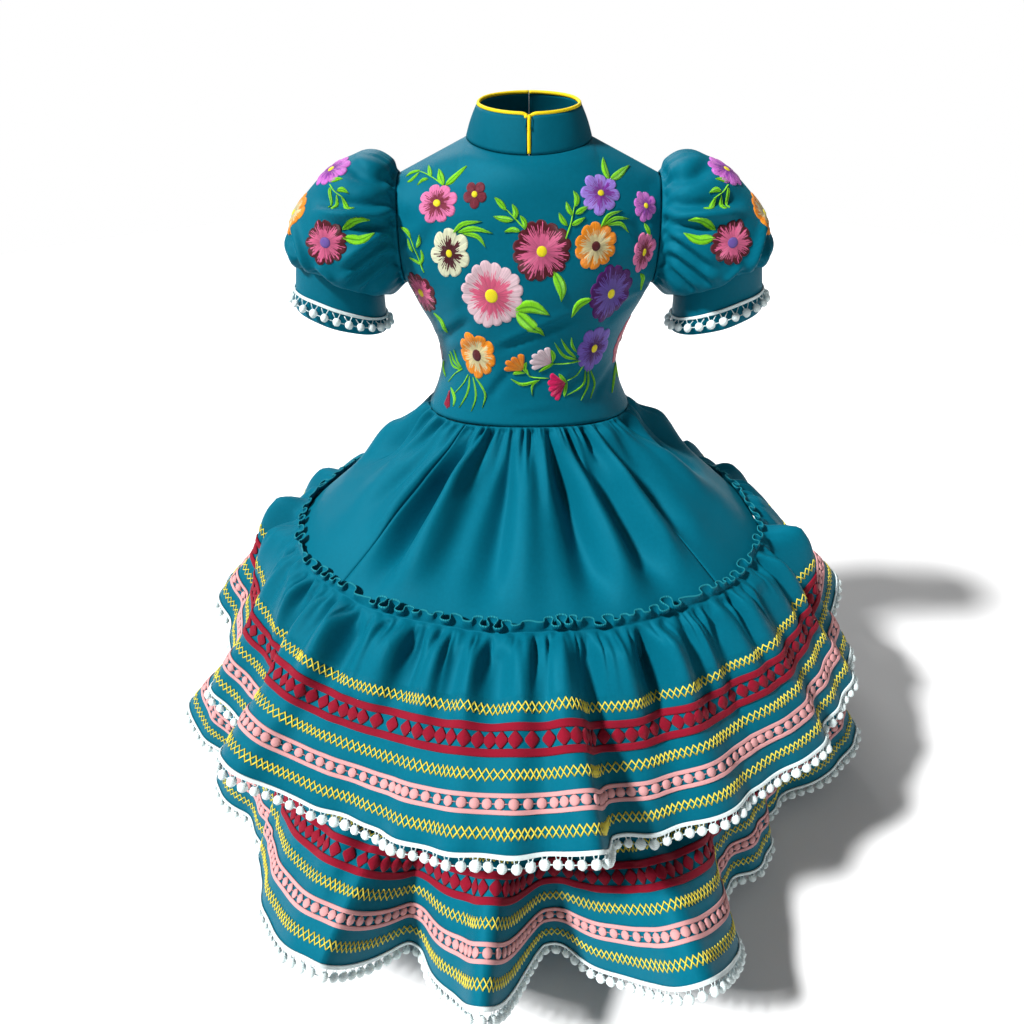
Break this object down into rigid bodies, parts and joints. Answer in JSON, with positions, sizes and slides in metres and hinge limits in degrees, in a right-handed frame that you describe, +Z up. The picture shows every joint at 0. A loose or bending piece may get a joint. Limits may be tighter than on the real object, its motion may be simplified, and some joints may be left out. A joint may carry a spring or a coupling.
{
  "type": "escaramuza dress",
  "caption": "Child's riding-show dress, filled out: fitted embroidered bodice, stand collar, puff sleeves, gathered skirt with two braid-trimmed ruffle tiers and ball fringe.",
  "frame": {"origin": "middle of the line between the two shoulder points, inside the dress, where the wearer's shoulders carry it", "axes": "+Z up; the front of the dress faces -Y; the wearer's left is +X"},
  "size_m": [0.8849, 0.8755, 0.775],
  "materials": {
    "dress_cloth": "smooth twill with a soft sheen",
    "collar_cloth": "smooth interfaced twill",
    "red_braid": "matt crocheted braid",
    "pink_braid": "matt crocheted braid",
    "ball_fringe": "matt fluffy thread",
    "piping": "satin covered cord"
  },
  "bodies": {
    "root": {"bodice_front": "dress_cloth", "bodice_back_left": "dress_cloth", "bodice_back_right": "dress_cloth", "sleeve_left": "dress_cloth", "sleeve_right": "dress_cloth", "cuff_left": "dress_cloth", "cuff_right": "dress_cloth", "skirt_front": "dress_cloth", "skirt_back_left": "dress_cloth", "skirt_back_right": "dress_cloth", "tier_1_front": "dress_cloth", "tier_1_back": "dress_cloth", "tier_2_front": "dress_cloth", "tier_2_back": "dress_cloth", "collar_left": "collar_cloth", "collar_right": "collar_cloth", "red_braid_tier_1": "red_braid", "red_braid_tier_2": "red_braid", "pink_braid_tier_1": "pink_braid", "pink_braid_tier_2": "pink_braid", "ball_fringe_tier_1": "ball_fringe", "ball_fringe_tier_2": "ball_fringe", "ball_fringe_cuff_left": "ball_fringe", "ball_fringe_cuff_right": "ball_fringe", "piping_left": "piping", "piping_right": "piping"}
  },
  "joints": []
}
